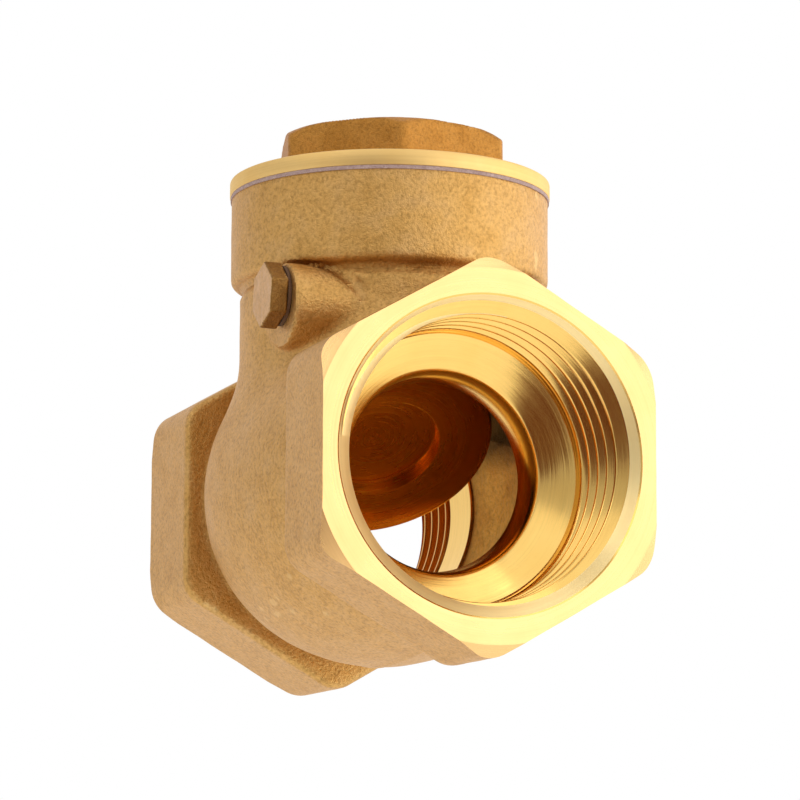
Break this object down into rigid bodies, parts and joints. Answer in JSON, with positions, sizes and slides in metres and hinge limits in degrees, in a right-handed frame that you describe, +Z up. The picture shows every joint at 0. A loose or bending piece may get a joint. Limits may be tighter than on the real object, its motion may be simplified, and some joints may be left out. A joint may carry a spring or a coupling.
{
  "type": "swing check valve",
  "caption": "Brass swing check valve: hexagonal threaded ports, barrel chamber, screwed top cap and a hinged disc that opens with the flow and shuts against its seat.",
  "frame": {"origin": "centre of the inlet end face, on the pipe axis", "axes": "+X out of the inlet along the pipe axis, so flow runs towards -X; +Z up the neck to the cap; the hinge pin's plug is on the -Y side"},
  "size_m": [0.062, 0.0394, 0.0613],
  "materials": {
    "cast_brass": "sand cast and blasted, machined bright at the ports",
    "cap_brass": "cast hexagon with a turned flange edge",
    "turned_brass": "turned bright",
    "clapper_brass": "turned face on a cast disc",
    "pin_steel": "drawn stainless",
    "gasket": "pressed fibre"
  },
  "bodies": {
    "housing": {"body": "cast_brass", "cap": "cap_brass", "cap_gasket": "gasket", "hinge_pin": "pin_steel", "pin_plug": "cap_brass", "plug_washer": "gasket"},
    "clapper": {"clapper_arm": "clapper_brass"},
    "disc_assembly": {"disc": "clapper_brass", "disc_washer": "turned_brass", "disc_nut": "turned_brass"}
  },
  "joints": [
    {"name": "clapper_swing", "type": "hinge", "parent": "housing", "child": "clapper", "pos_m": [-0.021, 0, 0.0194], "axis": [0, 1, 0], "range_deg": [-51.5, 4]},
    {"name": "disc_spin", "type": "hinge", "parent": "clapper", "child": "disc_assembly", "pos_m": [-0.0346, 0, 0.00533], "axis": [0.6225, 0, -0.7826], "continuous": true}
  ]
}
